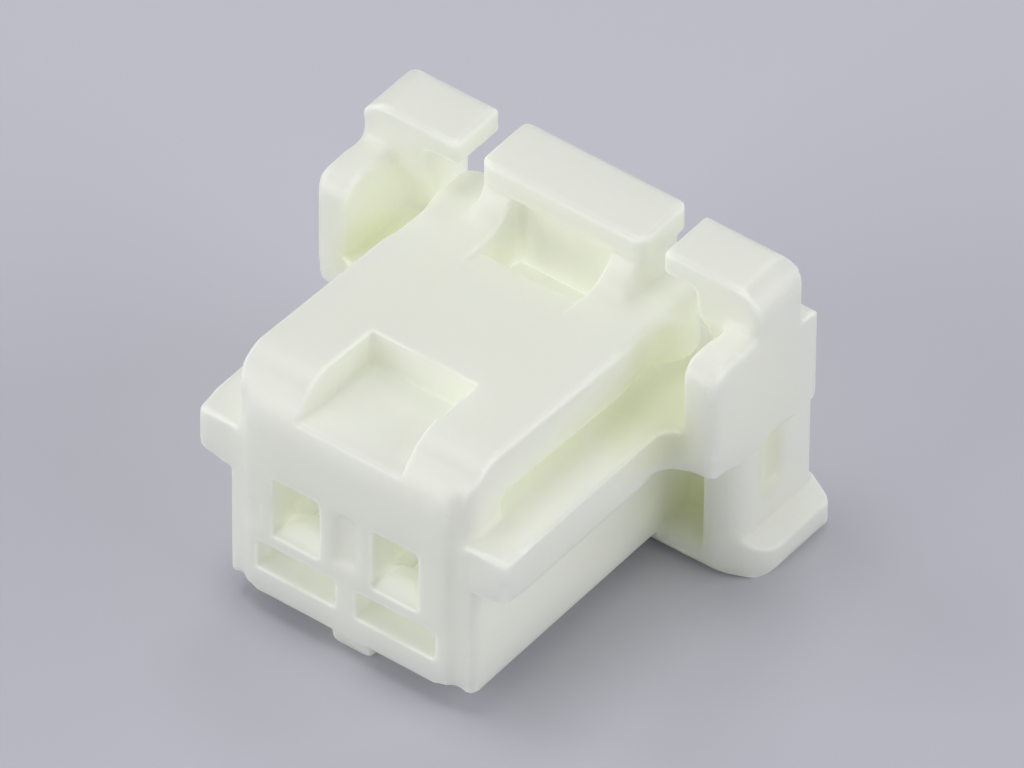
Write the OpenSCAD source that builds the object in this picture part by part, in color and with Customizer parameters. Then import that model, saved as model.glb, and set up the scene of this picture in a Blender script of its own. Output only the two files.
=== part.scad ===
// Two-way receptacle housing, one moulding, millimetres, +Z up.
// Mating face towards -Y, wires enter from +Y, latch lever on top.
// Origin: under the middle of the part, on the plane it rests on.

/* [Housing] */
// distance between the two terminal cavities
pitch = 2.0; // [1.96:0.01:2.06]
// width of the plug body between its side faces
body_w = 4.96; // [4.9:0.01:5.02]
// height of the plug body
body_h = 3.16; // [3.1:0.01:3.24]
// length from the mating face to the wire face
total_l = 7.33; // [7.3:0.01:7.4]
// width of the raised panel on the mating face
panel_w = 4.14; // [4.1:0.01:4.2]
// how far the panel stands in front of the corner columns
panel_proud = 0.12; // [0.08:0.01:0.16]
// radius of the upright front corners of the body
corner_r = 0.22; // [0.18:0.01:0.3]

/* [Rails] */
// width of each side rail beyond the body
rail_w = 0.64; // [0.56:0.01:0.68]
// height of each side rail
rail_h = 0.94; // [0.8:0.01:1.0]
// width of the key under the body
key_w = 0.8; // [0.7:0.01:1.0]
// depth of the key and of the feet below the body
key_h = 0.48; // [0.42:0.01:0.52]

/* [Openings] */
// width of a pin opening in the mating face
pin_w = 0.93; // [0.84:0.01:0.98]
// height of a pin opening
pin_h = 1.21; // [1.1:0.01:1.28]
// height of the pin opening's lower edge above the underside
pin_z = 1.37; // [1.33:0.01:1.42]
// width of a lance slot in the mating face
slot_w = 1.58; // [1.5:0.01:1.62]
// height of a lance slot
slot_h = 0.56; // [0.5:0.01:0.6]
// height of the lance slot's lower edge above the underside
slot_z = 0.52; // [0.48:0.01:0.56]
// thickness of the front wall of a terminal cavity
front_wall = 0.62; // [0.55:0.01:0.7]
// width of a terminal cavity
cavity_w = 1.5; // [1.4:0.01:1.56]
// height of a terminal cavity
cavity_h = 1.62; // [1.56:0.01:1.68]

/* [Lever] */
// width of the latch lever
lever_w = 4.72; // [4.64:0.01:4.76]
// length of the lever plate from the mating face
lever_l = 6.4; // [6.3:0.01:6.5]
// thickness of the lever plate
lever_t = 0.93; // [0.88:0.01:0.98]
// top of the lever above the underside where the bend ends
lever_top = 4.58; // [4.54:0.01:4.66]
// fall of the lever plate towards its free end, degrees
lever_fall = 2.9; // [2.5:0.1:3.1]
// outer radius of the bend that carries the lever
bend_r = 1.0; // [0.9:0.01:1.04]
// thickness of the bend between the mating face and the gap behind it
bend_t = 1.02; // [0.95:0.01:1.1]
// width of the thumb pocket
pocket_w = 2.1; // [1.9:0.01:2.2]
// length of the thumb pocket
pocket_l = 2.1; // [1.9:0.01:2.3]
// depth of the thumb pocket
pocket_d = 0.63; // [0.55:0.01:0.68]
// width of the catch window
window_w = 2.0; // [1.9:0.01:2.1]
// distance of the catch window from the mating face
window_y = 4.85; // [4.8:0.01:4.9]
// width of the lever's free end
tail_w = 5.0; // [4.9:0.01:5.02]
// width of the press bar
bar_w = 3.32; // [3.1:0.01:3.4]
// height of the press bar
bar_h = 0.54; // [0.5:0.01:0.6]
// length of the press bar
bar_l = 1.28; // [1.2:0.01:1.32]

/* [Guards] */
// width over both guards
guard_w = 8.06; // [8.0:0.01:8.12]
// height of the guard arms' top above the lever's top
guard_rise = 0.85; // [0.8:0.01:0.92]
// gap between the two guard arms
guard_gap = 4.1; // [4.0:0.01:4.2]
// thickness of a guard arm's roof
roof_t = 0.45; // [0.4:0.01:0.5]
// thickness of an ear plate
ear_t = 0.66; // [0.6:0.01:0.7]
// height of an ear plate's top above the underside
ear_top = 4.64; // [4.6:0.01:4.72]
// distance of the ears from the mating face
ear_y = 4.38; // [4.34:0.01:4.44]
// distance of the flange from the mating face
flange_y = 5.05; // [5.0:0.01:5.12]
// width over both feet
foot_w = 8.5; // [8.4:0.01:8.6]

/* [Hidden] */
$fn = 64;
// overlap that makes neighbouring solids one piece
lap = 0.05;
// reach of a cutter past the outside
past = 1;

half_body = body_w / 2;
guard_top = lever_top + guard_rise;
half_panel = panel_w / 2;
half_lever = lever_w / 2;
half_guard = guard_w / 2;
rail_x = half_body + rail_w;
rail_z = body_h - rail_h;
rail_y = panel_proud + 0.03;
ear_x = half_guard - ear_t;
key_r = 0.24;
key_side_r = 0.1;
rail_corner_r = 0.1;
rail_low_r = 0.12;
rail_fillet_r = 0.4;

// lever plate
fall_tan = tan(lever_fall);
panel_drop = 0.05;
panel_cz = lever_top - bend_r - panel_drop;
column_r = bend_r - panel_proud;
column_cz = lever_top - column_r;
lever_low = lever_top - lever_t;
lever_side_r = 0.1;
lever_front_r = 0.4;
lever_end_r = 0.5;
gap_r = 0.14;
gap_front = (bend_t - bend_r) / cos(lever_fall) + (lever_t + gap_r) * fall_tan;
lever_floor = pin_z + pin_h + 0.1;

// thumb pocket
pocket_wall = pocket_w / 2;
pocket_draft = 4;
lip_r = 0.13;

// catch window and press bar
ramp_l = 0.64;
ramp_d = 0.13;
window_l = 1.05;
cheek_sink = 0.03;
bar_top = guard_top - 0.08;
bar_z = bar_top - bar_h;
bar_y0 = 5.62;
bar_y1 = bar_y0 + bar_l;
bar_r = 0.13;
bar_corner_r = 0.26;
cheek_y1 = bar_y1 - bar_corner_r;
tail_y = 4.98;
flare_l = 0.6;
tail_t = lever_t + 0.12;
tail_edge_r = 0.19;

// guards
arm_y0 = 5.6;
arm_y1 = 6.77;
arm_r = 0.52;
arm_edge_r = 0.13;
web_x = tail_w / 2 + 0.2;
web_y = 6.15;
web_r = 2.57;
web_cz = 2.8;
roof_z = guard_top - roof_t;
ear_front_r = 0.46;
ear_low_r = 0.2;
ear_back_r = 0.26;
ear_side_r = 0.2;
ear_inner_r = 0.12;
ear_top_r = 0.17;
ear_top_in_r = 0.1;
ear_z = rail_z + 0.06;
ear_y1 = total_l - 0.08;
ear_back_z = ear_top - 0.44;
ear_back_top_r = 0.34;

// flange and feet
wall_x = half_guard - 0.12;
flange_r = 0.6;
foot_r = 0.14;
flange_top = ear_z + lap;
foot_x = foot_w / 2;
foot_top = 0.42;
foot_edge = 0.02;
foot_y = flange_y + 0.06;
foot_front_r = 0.92;
foot_rise_r = 0.45;
rim_r = 0.34;
under_r = 0.42;
well_x = ear_x - 0.1;
well_z = 0.06;
well_l = 0.86;
well_lip_r = 0.36;
groove_y = 6.2;
groove_r = 0.42;
groove_d = 0.11;
groove_z = 1.05;
rim_y = total_l - 0.07;

// openings
pin_sill_h = 0.25;
pin_sill_l = 0.34;
pin_sill_r = 0.62;
cavity_z = pin_z - 0.12;
slot_l = 2.3;
lance_t = 0.32;
lance_gap = 0.12;
lance_l = 2.2;
recess_w = 0.48;
recess_h = 1.1;
recess_z = 1.44;
recess_d = 0.12;
pad_w = 0.32;
pad_h = 0.54;
pad_z = 1.41;
pad_d = 0.04;

// extrusion along X of a profile drawn in (y, z)
module along_x(x0, x1) {
  translate([x0, 0, 0])
    rotate([90, 0, 90])
      linear_extrude(height = x1 - x0)
        children();
}

// extrusion along Y of a profile drawn in (x, z)
module along_y(y0, y1) {
  translate([0, y1, 0])
    rotate([90, 0, 0])
      linear_extrude(height = y1 - y0)
        children();
}

// extrusion along Z of a profile drawn in (x, y)
module along_z(z0, z1) {
  translate([0, 0, z0])
    linear_extrude(height = z1 - z0)
      children();
}

// what is cut off a right angle at the origin to leave a round corner
module corner_cut(r) {
  difference() {
    translate([-lap, -lap])
      square([r + lap, r + lap]);
    translate([r, r])
      circle(r = r);
  }
}

// rectangle from a to b; r holds the radii of its corners, from a anticlockwise
module rounded(a, b, r) {
  difference() {
    translate(a)
      square(b - a);
    if (r[0] > 0)
      translate(a)
        corner_cut(r[0]);
    if (r[1] > 0)
      translate([b[0], a[1]])
        mirror([1, 0])
          corner_cut(r[1]);
    if (r[2] > 0)
      translate(b)
        rotate(180)
          corner_cut(r[2]);
    if (r[3] > 0)
      translate([a[0], b[1]])
        mirror([0, 1])
          corner_cut(r[3]);
  }
}

// both hands of something drawn on the +X side
module both_sides() {
  children();
  mirror([1, 0, 0])
    children();
}

// side view of the lever: upright front, bend of radius r, falling plate
module lever_side(front, r, cz) {
  intersection() {
    translate([front + r, cz])
      circle(r = r);
    translate([front, cz - lap])
      square([r + lap, r + lap]);
  }
  translate([front, lever_floor])
    square([r, cz - lever_floor]);
  translate([bend_r, lever_top])
    rotate(-lever_fall)
      translate([0, -lever_t])
        square([lever_l, lever_t]);
  translate([front + lap, lever_floor])
    square([bend_t + 2 * gap_r - front - lap, lever_low + lap - lever_floor]);
}

// what fills an inner right angle at the origin to make it round
module fill_corner(r) {
  difference() {
    translate([-lap, -lap])
      square([r + lap, r + lap]);
    translate([r, r])
      circle(r = r);
  }
}

// gap between the body and the plate, its inner end round
module gap_cut() {
  along_x(-half_lever - past, half_lever + past)
    intersection() {
      rounded([bend_t, body_h], [lever_l + past, lever_top], [gap_r, 0, 0, 0]);
      translate([bend_r, lever_top])
        rotate(-lever_fall)
          rounded([gap_front, -lever_top], [lever_l + past, -lever_t],
                  [0, 0, 0, gap_r]);
    }
}

// bend and plate of the latch lever
module lever_plate() {
  difference() {
    intersection() {
      along_x(-half_lever, half_lever)
        lever_side(panel_proud, column_r, column_cz);
      along_z(lever_floor, guard_top)
        rounded([-half_lever, panel_proud], [half_lever, lever_l],
                [lever_front_r, lever_front_r, lever_end_r, lever_end_r]);
      lever_edges(half_lever, lever_side_r);
    }
    gap_cut();
  }
  lever_tail();
}

// free end of the lever, flaring to a wider and deeper section
module lever_tail() {
  half_tail = tail_w / 2;
  start = half_lever - lap;
  tail_u = tail_y - bend_r;
  intersection() {
    along_x(-half_tail, half_tail)
      translate([bend_r, lever_top])
        rotate(-lever_fall)
          polygon([
            [tail_u, 0],
            [tail_u, lap - lever_t],
            [tail_u + flare_l, -tail_t],
            [lever_l, -tail_t],
            [lever_l, 0]
          ]);
    along_z(body_h, lever_top)
      difference() {
        rounded([-half_tail, tail_y], [half_tail, lever_l],
                [0, 0, lever_end_r, lever_end_r]);
        both_sides()
          polygon([
            [start, tail_y - lap],
            [start, tail_y],
            [half_tail, tail_y + flare_l],
            [half_tail + lap, tail_y - lap]
          ]);
      }
    lever_edges(half_tail, tail_edge_r);
  }
}

// cross-section of the plate, its top edges rounded, laid along its fall
module lever_edges(half, r) {
  translate([0, bend_r, lever_top])
    rotate([-lever_fall, 0, 0])
      translate([0, -bend_r, 0])
        along_y(-past, lever_l + past)
          rounded([-half, -lever_top], [half, 0],
                  [0, 0, r, r]);
}

// panel on the mating face, carried up over the bend
module front_panel() {
  along_x(-half_panel, half_panel) {
    square([bend_t - lap, panel_cz]);
    intersection() {
      translate([bend_r, panel_cz])
        circle(r = bend_r);
      translate([0, panel_cz - lap])
        square([bend_r, bend_r + lap]);
    }
  }
}

// plug body with its upright front corners rounded
module body() {
  along_z(0, body_h)
    rounded([-half_body, panel_proud], [half_body, total_l],
            [corner_r, corner_r, 0, 0]);
}

// side rail running from the front back into the ear
module rail() {
  inner_x = half_body - corner_r;
  intersection() {
    along_z(rail_z, body_h)
      rounded([inner_x, rail_y], [rail_x, ear_y + ear_side_r],
              [0, rail_corner_r, 0, 0]);
    along_y(rail_y, ear_y + ear_side_r)
      rounded([inner_x, rail_z], [rail_x, body_h],
              [0, rail_low_r, 0, 0]);
  }
  along_z(ear_z, body_h)
    translate([rail_x, ear_y])
      mirror([0, 1])
        fill_corner(rail_fillet_r);
}

// key under the middle of the body
module key() {
  intersection() {
    along_x(-key_w / 2, key_w / 2)
      rounded([panel_proud, -key_h], [flange_y + lap, lap],
              [key_r, 0, 0, 0]);
    along_y(panel_proud, flange_y + lap)
      rounded([-key_w / 2, -key_h], [key_w / 2, lap],
              [key_side_r, key_side_r, 0, 0]);
  }
}

// thumb pocket pressed into the bend and the plate, laid along the fall
module pocket_cut() {
  back = pocket_l - bend_r;
  translate([0, bend_r, lever_top])
    rotate([-lever_fall, 0, 0])
      along_x(-pocket_wall, pocket_wall) {
        polygon([
          [-bend_r - past, -pocket_d],
          [back - pocket_d * tan(pocket_draft), -pocket_d],
          [back + past * tan(pocket_draft), past],
          [-bend_r - past, past]
        ]);
        lip_cut();
      }
}

// what rounds the pocket's front lip, tangent to its floor and to the bend
module lip_cut() {
  arm = lever_top - panel_cz;
  bend_c = [arm * sin(lever_fall), -arm * cos(lever_fall)];
  rise = -pocket_d - lip_r - bend_c[1];
  turn = asin(rise / (bend_r - lip_r));
  lip_c = [bend_c[0] - (bend_r - lip_r) * cos(turn), -pocket_d - lip_r];
  reach = lip_r + lap;
  difference() {
    polygon([
      lip_c,
      lip_c + [0, reach],
      lip_c + [-reach, reach],
      lip_c + reach * [-cos(turn), sin(turn)]
    ]);
    translate(lip_c)
      circle(r = lip_r);
  }
}

// height of the falling plate's top at a distance y from the mating face
function plate_z(y) = lever_top - fall_tan * (y - bend_r);

// slope in front of the catch window and the window itself
module window_cut() {
  along_x(-window_w / 2, window_w / 2) {
    polygon([
      [window_y - ramp_l, plate_z(window_y - ramp_l)],
      [window_y, plate_z(window_y) - ramp_d],
      [window_y, body_h + lap],
      [window_y + window_l, body_h + lap],
      [window_y + window_l, bar_z],
      [window_y - ramp_l, bar_z]
    ]);
  }
}

// block under the press bar; its hollow sloping front makes the two cheeks
module bar_block() {
  high = bar_z + lap;
  low = plate_z(cheek_y1) - lap;
  base = plate_z(window_y) - cheek_sink;
  rise = high - base;
  run = bar_y0 + lap - window_y;
  cheek_r = (rise * rise + run * run) / (2 * rise);
  along_x(lap - bar_w / 2, bar_w / 2 - lap)
    difference() {
      translate([window_y, low])
        square([cheek_y1 - window_y, high - low]);
      translate([window_y, base + cheek_r])
        circle(r = cheek_r);
      translate([window_y - lap, base])
        square([lap + cheek_sink, high]);
    }
}

// press bar at the free end of the lever
module press_bar() {
  edge_r = [bar_r, bar_r, bar_r, bar_r];
  end_r = [bar_corner_r, bar_corner_r, bar_corner_r, bar_corner_r];
  intersection() {
    along_x(-bar_w / 2, bar_w / 2)
      rounded([bar_y0, bar_z], [bar_y1, bar_top], edge_r);
    along_y(bar_y0, bar_y1)
      rounded([-bar_w / 2, bar_z], [bar_w / 2, bar_top], edge_r);
    along_z(bar_z, bar_top)
      rounded([-bar_w / 2, bar_y0], [bar_w / 2, bar_y1], end_r);
  }
}

// roof and outer wall of a guard arm, with the leaning web below the roof
module arm() {
  intersection() {
    along_y(arm_y0, arm_y1)
      rounded([guard_gap / 2, rail_z], [half_guard, guard_top],
              [0, 0, arm_r, arm_edge_r]);
    along_x(0, half_guard)
      rounded([arm_y0, rail_z], [arm_y1, guard_top],
              [0, 0, arm_edge_r, arm_edge_r]);
    along_z(rail_z, guard_top)
      rounded([guard_gap / 2, arm_y0], [half_guard, arm_y1],
              [arm_edge_r, arm_edge_r, arm_edge_r, arm_edge_r]);
    union() {
      along_z(roof_z, guard_top)
        square([half_guard, total_l]);
      web();
      along_z(rail_z, roof_z + lap)
        translate([ear_x, 0])
          square([ear_t, total_l]);
    }
  }
}

// web under the roof, its front face curving forward up to the roof
module web() {
  along_x(web_x, half_guard)
    difference() {
      translate([arm_y0, rail_z])
        square([arm_y1 - arm_y0, roof_z + lap - rail_z]);
      translate([web_y - web_r, web_cz])
        circle(r = web_r);
      translate([arm_y0 - lap, rail_z - lap])
        square([web_y - arm_y0 + lap, web_cz - rail_z + lap]);
    }
}

// ear plate beside the lever
module ear() {
  intersection() {
    along_x(ear_x, half_guard)
      difference() {
        rounded([ear_y, ear_z], [ear_y1, ear_top],
                [ear_low_r, ear_back_r, 0, ear_front_r]);
        translate([arm_y1 - lap, ear_back_z])
          square([past, past]);
        translate([ear_y1, ear_back_z])
          rotate(180)
            corner_cut(ear_back_top_r);
      }
    along_y(ear_y, ear_y1)
      rounded([ear_x, ear_z], [half_guard, ear_top],
              [0, 0, ear_top_r, ear_top_in_r]);
    along_z(ear_z, ear_top)
      rounded([ear_x, ear_y], [half_guard, ear_y1],
              [ear_inner_r, ear_side_r, ear_side_r, 0]);
  }
}

// shoulder that joins rail, ear and body
module shoulder() {
  along_x(0, half_guard - ear_side_r)
    rounded([ear_y, ear_z], [ear_y1, body_h],
            [ear_low_r, ear_back_r, 0, 0]);
}

// lower flange: wall with a broad front corner, foot along its outside
module flange() {
  intersection() {
    along_z(-key_h, flange_top)
      rounded([0, flange_y], [wall_x, rim_y], [0, flange_r, foot_r, 0]);
    along_x(0, wall_x)
      rounded([flange_y, -key_h], [rim_y, flange_top],
              [under_r, foot_r, rim_r, 0]);
  }
  intersection() {
    along_y(foot_y, total_l)
      foot_section();
    along_z(-key_h, foot_top)
      rounded([0, foot_y], [foot_x, total_l],
              [0, foot_front_r, foot_r, 0]);
    along_x(0, foot_x)
      rounded([foot_y, -key_h], [total_l, foot_top],
              [under_r, foot_r, 0, foot_rise_r]);
  }
}

// section of a foot: sloping top, upright edge
module foot_section() {
  intersection() {
    polygon([
      [half_body, foot_top],
      [wall_x - lap, foot_top],
      [foot_x, foot_edge],
      [foot_x, -key_h],
      [half_body, -key_h]
    ]);
    rounded([0, -key_h], [foot_x, foot_top], [0, foot_r, 0, 0]);
  }
}

// well between the body and the flange wall, open to the front over a
// round lip
module well_cut() {
  intersection() {
    along_x(half_body, well_x) {
      translate([flange_y - past, well_z])
        square([well_l + past, ear_z - well_z]);
      translate([flange_y, well_z])
        mirror([0, 1])
          corner_cut(well_lip_r);
    }
    along_z(-key_h, ear_z)
      rounded([half_body, flange_y - past], [well_x, flange_y + well_l],
              [0, 0, gap_r, gap_r]);
  }
}

// shallow upright groove in the flange wall
module groove_cut() {
  intersection() {
    translate([wall_x + groove_r - groove_d, groove_y, groove_z])
      cylinder(r = groove_r, h = ear_z - groove_z);
    along_z(groove_z, ear_z)
      translate([0, flange_y])
        square([wall_x + past, total_l]);
  }
}

// one terminal cavity with its front openings, centred on x = 0
module way_cut() {
  along_y(-past, front_wall + lap)
    translate([-pin_w / 2, pin_z])
      square([pin_w, pin_h]);
  along_y(front_wall, total_l + past)
    translate([-cavity_w / 2, cavity_z])
      square([cavity_w, cavity_h]);
  along_y(-past, slot_l)
    translate([-slot_w / 2, slot_z])
      square([slot_w, slot_h]);
  lance_cut();
}

// clearance around the lance under the terminal cavity
module lance_cut() {
  along_z(slot_z, cavity_z + lap)
    difference() {
      translate([-cavity_w / 2, front_wall])
        square([cavity_w, lance_l + lance_gap]);
      translate([-lance_t, front_wall + lance_gap])
        square([2 * lance_t, lance_l]);
    }
}

// sill inside a pin opening: a short slope with a crowned top
module sill() {
  intersection() {
    along_x(-pin_w / 2 - lap, pin_w / 2 + lap)
      polygon([
        [panel_proud / 2, pin_z - lap],
        [panel_proud / 2, pin_z],
        [pin_sill_l, pin_z + pin_sill_h],
        [pin_sill_l + pin_sill_h, pin_z + pin_sill_h],
        [front_wall, pin_z - lap]
      ]);
    along_y(0, front_wall)
      translate([0, pin_z + pin_sill_h - pin_sill_r])
        circle(r = pin_sill_r);
  }
}

// shallow recess between the pin openings, its foot sloping out
module middle_cut() {
  along_x(-recess_w / 2, recess_w / 2)
    polygon([
      [-lap, recess_z],
      [recess_d, recess_z + recess_d],
      [recess_d, recess_z + recess_h],
      [-lap, recess_z + recess_h]
    ]);
}

// blank pad in the margin of the mating face
module pad_cut() {
  along_y(-lap, pad_d)
    translate([-half_panel, pad_z])
      square([pad_w + lap, pad_h]);
}

module ways() {
  both_sides()
    translate([pitch / 2, 0, 0])
      children();
}

module housing() {
  color("ivory")
    translate([0, -total_l / 2, key_h]) {
      difference() {
        union() {
          body();
          front_panel();
          lever_plate();
          bar_block();
          key();
          both_sides() {
            rail();
            ear();
            shoulder();
            arm();
            flange();
          }
        }
        pocket_cut();
        window_cut();
        middle_cut();
        pad_cut();
        ways()
          way_cut();
        both_sides() {
          well_cut();
          groove_cut();
        }
      }
      press_bar();
      ways()
        sill();
    }
}

housing();
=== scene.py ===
"""Looks of a small connector housing, moulded in one piece from natural nylon.

The housing's mesh is a softened copy of the construction model: its edges
are rounded as a mould rounds them, and in some zones its faces run into each
other more softly. Every point knows how deep it lies between other walls,
where painted shade turns the colour a darker yellow green and a painted glow
stands in for the light that the plastic lets through, and how sharp a rim it
lies on, where a painted highlight glows.
"""

import logging
import math
from dataclasses import dataclass, field
from enum import Enum

import bmesh
import bpy
import numpy as np
from mathutils import Matrix, Vector
from mathutils.bvhtree import BVHTree

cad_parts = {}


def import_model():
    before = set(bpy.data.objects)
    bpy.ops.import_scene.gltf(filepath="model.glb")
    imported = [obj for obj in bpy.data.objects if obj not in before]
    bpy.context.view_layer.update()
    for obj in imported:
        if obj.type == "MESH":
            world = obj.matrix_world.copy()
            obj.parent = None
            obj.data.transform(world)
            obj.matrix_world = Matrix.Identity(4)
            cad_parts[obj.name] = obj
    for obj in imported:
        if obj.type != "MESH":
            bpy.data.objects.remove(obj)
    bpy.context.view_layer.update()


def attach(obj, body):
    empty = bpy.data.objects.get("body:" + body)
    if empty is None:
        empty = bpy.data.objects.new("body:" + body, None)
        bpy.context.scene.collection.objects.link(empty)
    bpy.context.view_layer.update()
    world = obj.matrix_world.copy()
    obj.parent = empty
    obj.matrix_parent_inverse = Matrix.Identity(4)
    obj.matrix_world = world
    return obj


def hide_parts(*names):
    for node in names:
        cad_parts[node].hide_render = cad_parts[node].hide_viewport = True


Colour = tuple[float, float, float, float]
Triple = tuple[float, float, float]

MM = 0.001
NODE = "housing"
PIECE = "moulded_housing"

# Part of a zone's reach over which the zone fades out.
ZONE_FADE = 0.5

# Least squared length of an edge, so that nothing is divided by zero.
LEAST_SQUARE = 1e-14

log = logging.getLogger("housing")


class Felt(Enum):
    """What each point of the moulding knows, under its attribute's name."""

    # Where a painted glow and the darker cream go.
    LIT = "lit_depth"
    # Where painted dim shade, a darker yellow green, goes.
    DIM = "dim_depth"
    # Where a painted highlight glows on sharp rims.
    RIM = "rim"


class Side(Enum):
    """Where a lamp hangs, as seen from the mating face."""

    ABOVE = "above"
    LEFT = "left"
    REAR = "rear"
    FRONT = "front"
    RIGHT = "right"


def point_list(mesh: bpy.types.Mesh, name: str = "co") -> np.ndarray:
    """List the positions or the normals of a mesh's points.

    Args:
        mesh: Any mesh.
        name: "co" for positions, "normal" for normals.

    Returns:
        One row for each point.
    """
    flat = np.empty(len(mesh.vertices) * 3)
    mesh.vertices.foreach_get(name, flat)
    return flat.reshape(-1, 3)


def mix_colours(tree: bpy.types.NodeTree, share: bpy.types.NodeSocket,
                first: Colour | bpy.types.NodeSocket,
                second: Colour | bpy.types.NodeSocket) -> bpy.types.NodeSocket:
    """Mix two colours.

    Args:
        tree: Node tree of the material.
        share: Share of the second colour.
        first: Colour or socket at share 0.
        second: Colour or socket at share 1.

    Returns:
        The mixed colour.
    """
    node = tree.nodes.new("ShaderNodeMix")
    node.data_type = "RGBA"
    tree.links.new(share, node.inputs["Factor"])
    for name, value in (("A", first), ("B", second)):
        socket = next(s for s in node.inputs
                      if s.name == name and s.type == "RGBA")
        if isinstance(value, tuple):
            socket.default_value = value
        else:
            tree.links.new(value, socket)
    return next(s for s in node.outputs if s.type == "RGBA")


def map_range(tree: bpy.types.NodeTree, value: bpy.types.NodeSocket,
              taken: tuple[float, float] = (0.0, 1.0),
              given: tuple[float, float] = (0.0, 1.0)) -> bpy.types.NodeSocket:
    """Map one range of values to another, and stay inside it.

    Args:
        tree: Node tree of the material.
        value: The value to map.
        taken: Lowest and highest value that comes in.
        given: Lowest and highest value that goes out.

    Returns:
        The mapped value.
    """
    node = tree.nodes.new("ShaderNodeMapRange")
    node.inputs["From Min"].default_value = taken[0]
    node.inputs["From Max"].default_value = taken[1]
    node.inputs["To Min"].default_value = given[0]
    node.inputs["To Max"].default_value = given[1]
    tree.links.new(value, node.inputs["Value"])
    return node.outputs["Result"]


@dataclass(frozen=True)
class NaturalNylon:
    """Finish of the moulding: cream nylon that lets some light through,
    with painted shade, a painted glow and painted rim highlights.

    Attributes:
        skin: Colour of the open faces.
        warm: Second cream, which flows through the first.
        deep: Painted shade, a darker cream, between walls near the top and the
            mating face.
        dim: Painted shade, a darker yellow green, between walls that little
            light reaches.
        reach: Distance that light travels inside the plastic.
        reach_shares: Shares of it for red, green and blue light.
        scatter: Share of the light that goes into the plastic.
        bending: Index of refraction.
        shine: Strength of the reflections.
        painted_glow_colour: Colour of the painted glow that stands in for light
            coming through the walls.
        painted_glow_strength: Strength of that painted glow where the depth is
            full.
        painted_rim_highlight: Strength of the painted highlight glow on the
            sharpest rims.
        gloss: Roughness in the middle of its range.
        gloss_change: How far the roughness goes above and below it.
        flow_size: Waves of the flow marking in a metre.
        flow_detail: Finer layers of the flow marking.
        wave_size: Waves of the uneven skin in a metre.
        wave_height: Height of those waves.
        grain_size: Waves of the fine grain in a metre.
        grain_height: Height of the grain.
        relief_detail: Finer layers of the waves and of the grain.
    """

    skin: Colour = (0.93, 0.96, 0.83, 1.0)
    warm: Colour = (0.935, 0.955, 0.82, 1.0)
    # Painted shade: darker cream between walls.
    deep: Colour = (0.81, 0.825, 0.74, 1.0)
    # Painted shade: darker yellow green deep between walls.
    dim: Colour = (0.76, 0.81, 0.49, 1.0)
    reach: float = 2.0 * MM
    reach_shares: Triple = (1.0, 1.0, 0.8)
    scatter: float = 0.5
    bending: float = 1.53
    shine: float = 0.5
    painted_glow_colour: Colour = (0.96, 0.97, 0.90, 1.0)
    painted_glow_strength: float = 0.25
    painted_rim_highlight: float = 0.13
    gloss: float = 0.36
    gloss_change: float = 0.12
    flow_size: float = 900.0
    flow_detail: float = 3.0
    wave_size: float = 1500.0
    wave_height: float = 0.008 * MM
    grain_size: float = 16000.0
    grain_height: float = 0.0016 * MM
    relief_detail: float = 2.0

    def build(self) -> bpy.types.Material:
        """Make the material.

        Returns:
            The finished nylon.
        """
        material = bpy.data.materials.new("natural_nylon")
        material.use_nodes = True
        tree = material.node_tree
        shader = tree.nodes["Principled BSDF"]
        shader.inputs["Subsurface Weight"].default_value = self.scatter
        shader.inputs["Subsurface Radius"].default_value = self.reach_shares
        shader.inputs["Subsurface Scale"].default_value = self.reach
        shader.inputs["IOR"].default_value = self.bending
        shader.inputs["Specular IOR Level"].default_value = self.shine
        # Colour of the painted glow, given out as emission.
        shader.inputs["Emission Color"].default_value = self.painted_glow_colour
        place = tree.nodes.new("ShaderNodeTexCoord")
        flow = self.noise(tree, place, self.flow_size, self.flow_detail)
        for name, socket in (
            ("Base Color", self.colour(tree, flow)),
            ("Roughness", self.roughness(tree, flow)),
            ("Normal", self.relief(tree, place)),
            ("Emission Strength", self.painted_glow(tree)),
        ):
            tree.links.new(socket, shader.inputs[name])
        return material

    def painted_glow(self, tree: bpy.types.NodeTree) -> bpy.types.NodeSocket:
        """Paint a glow that stands in for the light that comes through the
        plastic, and painted highlights on sharp rims.

        Args:
            tree: Node tree of the material.

        Returns:
            Strength of that painted glow, nothing on open flat faces.
        """
        # Painted glow between walls plus painted rim highlights, given out as
        # emission.
        share = map_range(tree, self.felt(tree, Felt.LIT),
                          given=(0.0, self.painted_glow_strength))
        both = tree.nodes.new("ShaderNodeMath")
        both.operation = "MULTIPLY_ADD"
        both.inputs[1].default_value = self.painted_rim_highlight
        tree.links.new(self.felt(tree, Felt.RIM), both.inputs[0])
        tree.links.new(share, both.inputs[2])
        return both.outputs["Value"]

    def felt(self, tree: bpy.types.NodeTree,
             felt: Felt) -> bpy.types.NodeSocket:
        """Read what the moulding stores at its points.

        Args:
            tree: Node tree of the material.
            felt: Which of the stored values.

        Returns:
            The value, from 0 to 1.
        """
        node = tree.nodes.new("ShaderNodeAttribute")
        node.attribute_name = felt.value
        return node.outputs["Fac"]

    def noise(self, tree: bpy.types.NodeTree, place: bpy.types.Node,
              size: float, detail: float) -> bpy.types.NodeSocket:
        """Add a noise that lies still on the part.

        Args:
            tree: Node tree of the material.
            place: Texture coordinate node.
            size: Number of waves in a metre.
            detail: Number of finer layers.

        Returns:
            The noise's value.
        """
        node = tree.nodes.new("ShaderNodeTexNoise")
        node.inputs["Scale"].default_value = size
        node.inputs["Detail"].default_value = detail
        tree.links.new(place.outputs["Object"], node.inputs["Vector"])
        return node.outputs["Fac"]

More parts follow.
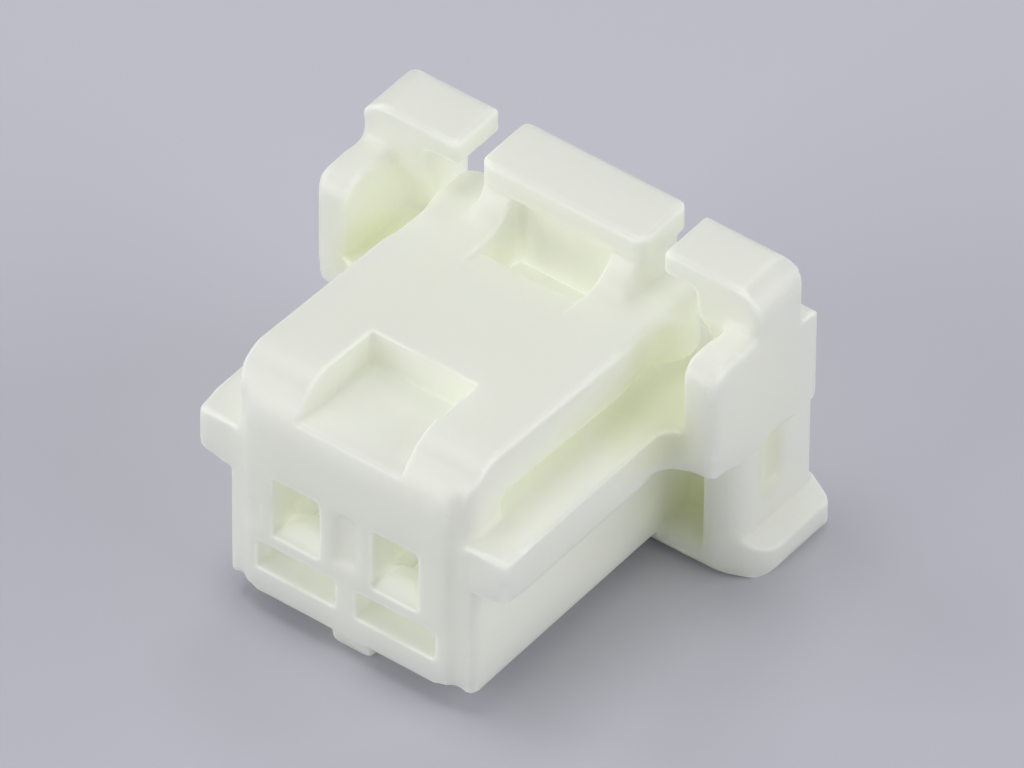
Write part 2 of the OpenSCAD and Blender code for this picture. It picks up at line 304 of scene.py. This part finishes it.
    def colour(self, tree: bpy.types.NodeTree,
               flow: bpy.types.NodeSocket) -> bpy.types.NodeSocket:
        """Mix the skin's two creams, and the painted shade between walls, a
        darker cream and a darker yellow green.

        Args:
            tree: Node tree of the material.
            flow: Slow noise over the part.

        Returns:
            The colour of the plastic.
        """
        skin = mix_colours(tree, flow, self.skin, self.warm)
        # Painted shade: darker cream where the depth mask is set.
        lit = mix_colours(tree, self.felt(tree, Felt.LIT), skin, self.deep)
        # Painted dim shade: darker yellow green where the dim mask is set.
        return mix_colours(tree, self.felt(tree, Felt.DIM), lit, self.dim)

    def roughness(self, tree: bpy.types.NodeTree,
                  flow: bpy.types.NodeSocket) -> bpy.types.NodeSocket:
        """Vary the gloss slowly.

        Args:
            tree: Node tree of the material.
            flow: Slow noise over the part.

        Returns:
            The roughness.
        """
        return map_range(tree, flow, given=(self.gloss - self.gloss_change,
                                            self.gloss + self.gloss_change))

    def relief(self, tree: bpy.types.NodeTree,
               place: bpy.types.Node) -> bpy.types.NodeSocket:
        """Raise the mould's fine grain on soft, wide waves.

        Args:
            tree: Node tree of the material.
            place: Texture coordinate node.

        Returns:
            The bumped normal.
        """
        normal = None
        for size, height in ((self.wave_size, self.wave_height),
                             (self.grain_size, self.grain_height)):
            bump = tree.nodes.new("ShaderNodeBump")
            bump.inputs["Strength"].default_value = 1.0
            bump.inputs["Distance"].default_value = height
            tree.links.new(self.noise(tree, place, size, self.relief_detail),
                           bump.inputs["Height"])
            if normal is not None:
                tree.links.new(normal, bump.inputs["Normal"])
            normal = bump.outputs["Normal"]
        return normal


@dataclass(frozen=True)
class TablePaint:
    """Finish of the table: a matt grey with painted light that grows paler
    behind the part.

    Attributes:
        near: Colour in front of the part.
        far: Colour behind the part.
        fade: Distance from the part's middle at which each colour is full.
        roughness: Roughness of the paint.
    """

    near: Colour = (0.57, 0.572, 0.64, 1.0)
    far: Colour = (0.625, 0.625, 0.70, 1.0)
    fade: float = 8 * MM
    roughness: float = 0.8

    def build(self, turn: float) -> bpy.types.Material:
        """Make the material.

        Args:
            turn: Turn of the camera round the part, radians.

        Returns:
            The finished paint.
        """
        paint = bpy.data.materials.new("table_paint")
        paint.use_nodes = True
        tree = paint.node_tree
        shader = tree.nodes["Principled BSDF"]
        tree.links.new(self.colour(tree, turn), shader.inputs["Base Color"])
        shader.inputs["Roughness"].default_value = self.roughness
        return paint

    def colour(self, tree: bpy.types.NodeTree,
               turn: float) -> bpy.types.NodeSocket:
        """Paint light onto the grey, paler away from the camera.

        Args:
            tree: Node tree of the material.
            turn: Turn of the camera round the part, radians.

        Returns:
            The table's colour.
        """
        place = tree.nodes.new("ShaderNodeTexCoord")
        behind = tree.nodes.new("ShaderNodeVectorMath")
        behind.operation = "DOT_PRODUCT"
        behind.inputs[1].default_value = (-math.sin(turn), math.cos(turn), 0.0)
        tree.links.new(place.outputs["Object"], behind.inputs[0])
        # Painted light: the grey turns paler away from the camera.
        share = map_range(tree, behind.outputs["Value"],
                          taken=(-self.fade, self.fade))
        return mix_colours(tree, share, self.near, self.far)


@dataclass(frozen=True)
class Zone:
    """Zone, on the left and on the right, that fades out round its middle.

    Attributes:
        centre: Middle of the zone on the +X side, millimetres.
        reach: Half lengths of the zone along X, Y and Z, millimetres.
        share: Strength in the middle.
    """

    centre: Triple
    reach: Triple
    share: float = 1.0

    def weights(self, points: np.ndarray) -> np.ndarray:
        """Weigh the points by how far inside the zone they lie.

        Args:
            points: Point positions, metres.

        Returns:
            Weights from 0 to the share.
        """
        across = np.abs(points[:, 0:1])
        place = np.hstack([across, points[:, 1:]]) / MM
        away = (place - np.array(self.centre)) / np.array(self.reach)
        inner = 1 - np.linalg.norm(away, axis=1)
        inside = np.clip(inner, 0.0, ZONE_FADE) / ZONE_FADE
        return self.share * inside * inside * (3 - 2 * inside)


# Where faces run softly into each other.
BLENDS = (
    Zone((2.42, 1.45, 4.6), (0.85, 1.2, 1.1)),  # tail of the lever
    Zone((3.15, 0.72, 2.95), (0.7, 0.8, 0.75), 0.5),  # rail into the guard
    Zone((3.85, 0.75, 2.85), (0.6, 0.7, 0.6), 0.8),  # guard's lower corner
    Zone((3.9, 0.9, 4.2), (0.7, 0.9, 1.6), 0.3),  # guard's front edge
    Zone((3.6, 1.95, 5.1), (0.9, 0.6, 0.6), 0.7),  # guard's shoulder
    Zone((3.6, 1.5, 0.4), (0.7, 0.6, 0.9), 0.6),  # foot's corner
    Zone((3.28, 1.4, 1.5), (0.5, 0.6, 2.2), 0.8),  # edge of the well
    Zone((1.7, 1.9, 4.85), (0.7, 0.9, 0.7), 0.75),  # cheek of the window
    Zone((3.1, -3.5, 3.15), (0.6, 0.6, 0.9), 0.6),  # front end of the rail
    Zone((2.07, -3.6, 2.2), (0.35, 0.4, 3.6), 0.7),  # front panel's edge
    Zone((0.0, -3.6, 2.5), (0.6, 0.4, 1.2), 0.6),  # recess between openings
    Zone((0.3, -3.5, 0.05), (0.6, 0.6, 0.4), 0.4),  # front end of the key
    Zone((3.9, 2.5, 2.0), (0.5, 0.8, 1.2), 0.4),  # groove in the flange
    Zone((3.3, 2.1, 4.0), (0.9, 0.7, 1.0), 0.5),  # web inside the guard
)

# Where painted shade pushes the colour to the dim yellow green.
PAINTED_SHADE_ZONES = (
    Zone((2.9, 0.9, 3.6), (0.9, 1.8, 1.0), 0.5),  # between lever and guard
    Zone((3.9, 2.45, 2.1), (0.35, 0.45, 1.1), 0.3),  # groove in the flange
    Zone((2.3, -0.6, 3.95), (0.5, 3.0, 0.4), 0.35),  # gap under the lever
    Zone((2.45, 1.3, 4.4), (0.5, 0.9, 0.6), 0.25),  # under the lever's tail
    Zone((1.35, -2.5, 2.0), (0.8, 1.3, 0.7), 0.35),  # inside the openings
)

# Where the painted shade and the painted glow between the walls are weakened.
WEAKER_PAINTED_LIGHT_ZONES = (
    Zone((0.5, 2.1, 4.7), (1.3, 0.9, 0.8), 0.45),  # catch window
    Zone((1.0, -3.5, 1.0), (1.2, 0.55, 1.2), 0.45),  # front slots
    Zone((0.3, -2.3, 4.7), (1.6, 1.6, 1.0), 0.4),  # thumb pocket
)

# Where a painted glow is added, with the darker cream that goes with it.
PAINTED_GLOW_ZONES = (
    Zone((0.4, 2.3, 3.7), (1.5, 0.7, 0.4), 0.5),  # foot of the window
    Zone((1.0, -3.25, 1.65), (1.0, 0.5, 0.55), 0.7),  # sills of the openings
)


class Edges:
    """Edges of a mesh, which lead from each point to its neighbours.

    Attributes:
        near: First point of each edge.
        far: Second point of each edge.
        size: Number of points.
        count: Number of edges at each point, 1 at least.
    """

    def __init__(self, mesh: bpy.types.Mesh) -> None:
        """List the edges.

        Args:
            mesh: Any mesh.
        """
        pairs = np.empty(len(mesh.edges) * 2, dtype=np.int64)
        mesh.edges.foreach_get("vertices", pairs)
        self.near, self.far = pairs[0::2], pairs[1::2]
        self.size = len(mesh.vertices)
        count = np.bincount(self.near, minlength=self.size)
        count = count + np.bincount(self.far, minlength=self.size)
        self.count = np.maximum(count, 1)

    def mean(self, at_near: np.ndarray, at_far: np.ndarray) -> np.ndarray:
        """Average what the edges bring to each point.

        Args:
            at_near: What each edge brings to its first point.
            at_far: What each edge brings to its second point.

        Returns:
            One mean for each point.
        """
        total = np.bincount(self.near, at_near, minlength=self.size)
        total += np.bincount(self.far, at_far, minlength=self.size)
        return total / self.count


@dataclass(frozen=True)
class PaintedLightMasks:
    """Depths and rims, which place the painted shade, the painted glow and
    the painted rim highlights.

    Attributes:
        feelers: Rays that each point sends out to find walls.
        feel: Distance at which a wall no longer counts.
        lift: Height over the skin at which the rays start.
        skim: Facing at or below which a ray only skims the skin.
        spread: Passes that spread the depth over neighbouring points.
        lit_way: Way below the top or behind the mating face within which the
            depth is painted as glow and darker cream.
        fade_way: Further way over which it turns into painted dim shade.
        rim_radius: Radius of a rim that counts as fully sharp.
        rim_start: Sharpness at which a rim begins to get a painted highlight.
        rim_fade: How fast that painted highlight goes with the depth.
    """

    feelers: int = 36
    feel: float = 2.2 * MM
    lift: float = 0.032 * MM
    skim: float = 0.05
    spread: int = 36
    lit_way: float = 1.8 * MM
    fade_way: float = 4.0 * MM
    rim_radius: float = 0.15 * MM
    rim_start: float = 0.2
    rim_fade: float = 2.0

    def store(self, mesh: bpy.types.Mesh) -> None:
        """Store the masks of painted light and shade at the points of a mesh.

        The depth is split by the way from the top and from the mating face, as
        light that enters there dies away in the plastic: near them it is
        painted as glow and darker cream, farther off as dim shade.

        Args:
            mesh: The softened housing.
        """
        edges = Edges(mesh)
        points = point_list(mesh)
        depths = self.spread_out(edges, self.depths(mesh))
        for zone in WEAKER_PAINTED_LIGHT_ZONES:
            depths = depths * (1 - zone.weights(points))
        low, high = points.min(axis=0), points.max(axis=0)
        way = np.minimum(high[2] - points[:, 2], points[:, 1] - low[1])
        share = np.clip((way - self.lit_way) / self.fade_way, 0.0, 1.0)
        # lit marks painted glow and darker cream; dim marks painted dim shade.
        lit, dim = depths * (1 - share), depths * share
        for zone in PAINTED_SHADE_ZONES:
            dim = dim + zone.weights(points)
        for zone in PAINTED_GLOW_ZONES:
            lit = lit + zone.weights(points)
        # Painted highlight on sharp rims, weaker between walls.
        rims = self.rims(edges, points, point_list(mesh, "normal"))
        rims = rims * np.clip(1 - self.rim_fade * depths, 0.0, 1.0)
        for felt, values in ((Felt.LIT, lit), (Felt.DIM, dim),
                             (Felt.RIM, rims)):
            layer = mesh.attributes.new(felt.value, "FLOAT", "POINT")
            layer.data.foreach_set("value", np.clip(values, 0.0, 1.0))

    def directions(self) -> list[Vector]:
        """Spread the feelers evenly over a ball, a golden angle apart.

        Returns:
            Unit vectors.
        """
        turn = math.pi * (3 - math.sqrt(5))
        rays = []
        for i in range(self.feelers):
            z = 1 - (2 * i + 1) / self.feelers
            r = math.sqrt(1 - z * z)
            rays.append(Vector((r * math.cos(i * turn),
                                r * math.sin(i * turn), z)))
        return rays

    def depths(self, mesh: bpy.types.Mesh) -> np.ndarray:
        """Feel at each point how deep it lies between other walls.

        Args:
            mesh: The softened housing.

        Returns:
            One depth for each point, 0 in the open and 1 walled in.
        """
        shape = bmesh.new()
        shape.from_mesh(mesh)
        walls = BVHTree.FromBMesh(shape)
        shape.free()
        rays = self.directions()
        depths = []
        for point in mesh.vertices:
            normal = point.normal
            start = point.co + normal * self.lift
            caught = open_sky = 0.0
            for ray in rays:
                facing = normal.dot(ray)
                if facing <= self.skim:
                    continue
                open_sky += facing
                hit = walls.ray_cast(start, ray, self.feel)
                if hit[0] is not None:
                    near = 1 - hit[3] / self.feel
                    caught += facing * near
            depths.append(caught / open_sky if open_sky else 0.0)
        return np.array(depths)

    def spread_out(self, edges: Edges, depths: np.ndarray) -> np.ndarray:
        """Spread the depths, which softens the painted shade and glow.

        Args:
            edges: Edges of the softened housing.
            depths: One depth for each point.

        Returns:
            The softened depths.
        """
        for _ in range(self.spread):
            around = edges.mean(depths[edges.far], depths[edges.near])
            depths = (depths + around) / 2
        return depths

    def rims(self, edges: Edges, points: np.ndarray,
             normals: np.ndarray) -> np.ndarray:
        """Find the sharp edges, which get a painted highlight.

        Args:
            edges: Edges of the softened housing.
            points: Its point positions.
            normals: Its point normals.

        Returns:
            How sharply the skin turns outwards, from 0 to 1.
        """
        near, far = edges.near, edges.far
        line = points[far] - points[near]
        square = np.maximum((line * line).sum(axis=1), LEAST_SQUARE)
        turn = edges.mean(-(normals[near] * line).sum(axis=1) / square,
                          (normals[far] * line).sum(axis=1) / square)
        bend = 2 * turn * self.rim_radius - self.rim_start
        return np.clip(bend, 0.0, 1.0)


@dataclass
class Moulding:
    """The housing as it leaves the mould, with soft edges.

    Attributes:
        merge: Distance under which points become one.
        voxel: Grid of the remesh that joins and softens the surface.
        ease: Share of its way that a point moves in one smoothing pass.
        rounds: Passes of smoothing that round the edges.
        blend_rounds: Passes of smoothing in the zones of the blends.
        least_blend: Weight up to which a point stays out of the blends.
        keep: Share of the triangles that stay.
        light: Masks of painted light and shade for the finish.
        finish: The nylon.
    """

    merge: float = 0.0005 * MM
    voxel: float = 0.032 * MM
    ease: float = 0.5
    rounds: int = 10
    blend_rounds: int = 160
    least_blend: float = 0.01
    keep: float = 0.2
    light: PaintedLightMasks = field(default_factory=PaintedLightMasks)
    finish: NaturalNylon = field(default_factory=NaturalNylon)

    def build(self) -> bpy.types.Object:
        """Make the piece and put it on its body.

        Returns:
            The softened housing.
        """
        piece = self.copy()
        self.soften(piece)
        self.light.store(piece.data)
        piece.data.materials.clear()
        piece.data.materials.append(self.finish.build())
        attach(piece, "root")
        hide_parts(NODE)
        return piece

    def copy(self) -> bpy.types.Object:
        """Copy the construction mesh as one closed skin.

        Returns:
            The new object, at the origin.
        """
        source = bpy.data.objects[NODE]
        skin = bmesh.new()
        skin.from_mesh(source.data)
        bmesh.ops.remove_doubles(skin, verts=skin.verts, dist=self.merge)
        bmesh.ops.recalc_face_normals(skin, faces=skin.faces)
        mesh = bpy.data.meshes.new(PIECE)
        skin.to_mesh(mesh)
        skin.free()
        piece = bpy.data.objects.new(PIECE, mesh)
        bpy.context.scene.collection.objects.link(piece)
        return piece

    def soften(self, piece: bpy.types.Object) -> None:
        """Round every edge and corner the way a mould does.

        Args:
            piece: The closed copy.
        """
        grid = piece.modifiers.new("grid", "REMESH")
        grid.mode = "VOXEL"
        grid.voxel_size = self.voxel
        grid.use_smooth_shade = True
        self.smooth(piece, "round_off", self.rounds)
        self.bake(piece)
        self.smooth(piece, "melt", self.blend_rounds, self.mark_blends(piece))
        thin = piece.modifiers.new("thin", "DECIMATE")
        thin.ratio = self.keep
        self.bake(piece)
        piece.data.name = PIECE
        for face in piece.data.polygons:
            face.use_smooth = True

    def smooth(self, piece: bpy.types.Object, name: str, rounds: int,
               group: str = "") -> None:
        """Add passes of smoothing.

        Args:
            piece: Object to smooth.
            name: Name of the modifier.
            rounds: Number of passes.
            group: Name of the group that weighs the points, none for all.
        """
        passes = piece.modifiers.new(name, "SMOOTH")
        passes.factor = self.ease
        passes.iterations = rounds
        passes.vertex_group = group

    def bake(self, piece: bpy.types.Object) -> None:
        """Turn the modifiers into the mesh itself.

        Args:
            piece: Object with modifiers.
        """
        view = bpy.context.evaluated_depsgraph_get()
        made = bpy.data.meshes.new_from_object(piece.evaluated_get(view))
        piece.modifiers.clear()
        piece.vertex_groups.clear()
        piece.data = made

    def mark_blends(self, piece: bpy.types.Object) -> str:
        """Weigh each point by the strongest blend zone that it lies in.

        Args:
            piece: The remeshed housing.

        Returns:
            Name of the group that holds the weights.
        """
        points = point_list(piece.data)
        strongest = np.max([zone.weights(points) for zone in BLENDS], axis=0)
        group = piece.vertex_groups.new(name="blends")
        for i in np.flatnonzero(strongest > self.least_blend):
            group.add([int(i)], float(strongest[i]), "REPLACE")
        return group.name


@dataclass(frozen=True)
class Lamp:
    """One soft, square lamp that faces the part.

    Attributes:
        side: Side of the part on which it hangs.
        power: Watts.
        size: Side of its square face, metres.
        spot: Its place, metres.
    """

    side: Side
    power: float
    size: float
    spot: Triple

    def build(self) -> None:
        """Hang the lamp."""
        name = f"lamp_{self.side.value}"
        data = bpy.data.lights.new(name, "AREA")
        data.shape = "SQUARE"
        data.size = self.size
        data.energy = self.power
        lamp = bpy.data.objects.new(name, data)
        spot = Vector(self.spot)
        lamp.location = spot
        lamp.rotation_mode = "QUATERNION"
        lamp.rotation_quaternion = (-spot).to_track_quat("-Z", "Y")
        bpy.context.scene.collection.objects.link(lamp)


LAMPS = (
    Lamp(Side.ABOVE, 0.15, 0.12, (-0.05, -0.02, 0.30)),
    Lamp(Side.LEFT, 0.075, 0.12, (-0.19, -0.03, 0.19)),
    Lamp(Side.REAR, 0.06, 0.08, (-0.07, 0.15, 0.23)),
    Lamp(Side.FRONT, 0.36, 0.22, (-0.15, -0.25, 0.09)),
    Lamp(Side.RIGHT, 0.55, 0.34, (0.27, 0.11, 0.08)),
)


@dataclass
class Studio:
    """Pale table, lamps and camera.

    Attributes:
        azimuth: Turn of the camera round the part, degrees.
        elevation: Height of the camera above the table, degrees.
        roll: Turn of the camera about its own line of sight, degrees.
        distance: Distance from the camera to its aim.
        clip: How many times nearer and farther than that the camera sees.
        lens: Focal length, millimetres.
        aim: Point at the middle of the frame.
        table_size: Size of the table's grid.
        paint: Finish of the table.
        sky: Colour of the room's even light.
        sky_strength: Strength of the room's even light.
        lamps: The lamps.
    """

    azimuth: float = 37.11
    elevation: float = 42.44
    roll: float = -0.44
    distance: float = 271.86 * MM
    clip: float = 20.0
    lens: float = 597.6
    aim: Vector = field(default_factory=lambda: Vector((0.32, 0.30, 3.26)) * MM)
    table_size: float = 400 * MM
    paint: TablePaint = field(default_factory=TablePaint)
    sky: Colour = (0.97, 0.975, 1.0, 1.0)
    sky_strength: float = 0.30
    lamps: tuple[Lamp, ...] = LAMPS

    def build(self) -> None:
        """Set up everything round the part."""
        self.table()
        self.camera()
        self.world()
        for lamp in self.lamps:
            lamp.build()

    def table(self) -> None:
        """Lay the pale table under the part."""
        top = bmesh.new()
        bmesh.ops.create_grid(top, x_segments=1, y_segments=1,
                              size=self.table_size)
        mesh = bpy.data.meshes.new("table")
        top.to_mesh(mesh)
        top.free()
        table = bpy.data.objects.new("table", mesh)
        bpy.context.scene.collection.objects.link(table)
        mesh.materials.append(self.paint.build(math.radians(self.azimuth)))

    def camera(self) -> None:
        """Place the camera and turn it to its aim."""
        turn, rise = math.radians(self.azimuth), math.radians(self.elevation)
        back = Vector((math.sin(turn) * math.cos(rise),
                       -math.cos(turn) * math.cos(rise), math.sin(rise)))
        data = bpy.data.cameras.new("camera")
        data.lens = self.lens
        data.clip_start = self.distance / self.clip
        data.clip_end = self.distance * self.clip
        camera = bpy.data.objects.new("camera", data)
        look = (-back).to_track_quat("-Z", "Y").to_matrix().to_4x4()
        tilt = Matrix.Rotation(math.radians(-self.roll), 4, "Z")
        spot = Matrix.Translation(self.aim + back * self.distance)
        camera.matrix_world = spot @ look @ tilt
        bpy.context.scene.collection.objects.link(camera)
        bpy.context.scene.camera = camera

    def world(self) -> None:
        """Fill the room with even, faintly cool light."""
        world = bpy.data.worlds.new("room")
        world.use_nodes = True
        sky = world.node_tree.nodes["Background"]
        sky.inputs["Color"].default_value = self.sky
        sky.inputs["Strength"].default_value = self.sky_strength
        bpy.context.scene.world = world


def main() -> None:
    """Build the part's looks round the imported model."""
    logging.basicConfig(level=logging.INFO, format="%(message)s")
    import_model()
    bpy.context.scene.view_settings.view_transform = "Standard"
    piece = Moulding().build()
    log.info("%s: %d faces", piece.name, len(piece.data.polygons))
    Studio().build()


if __name__ == "__main__":
    main()
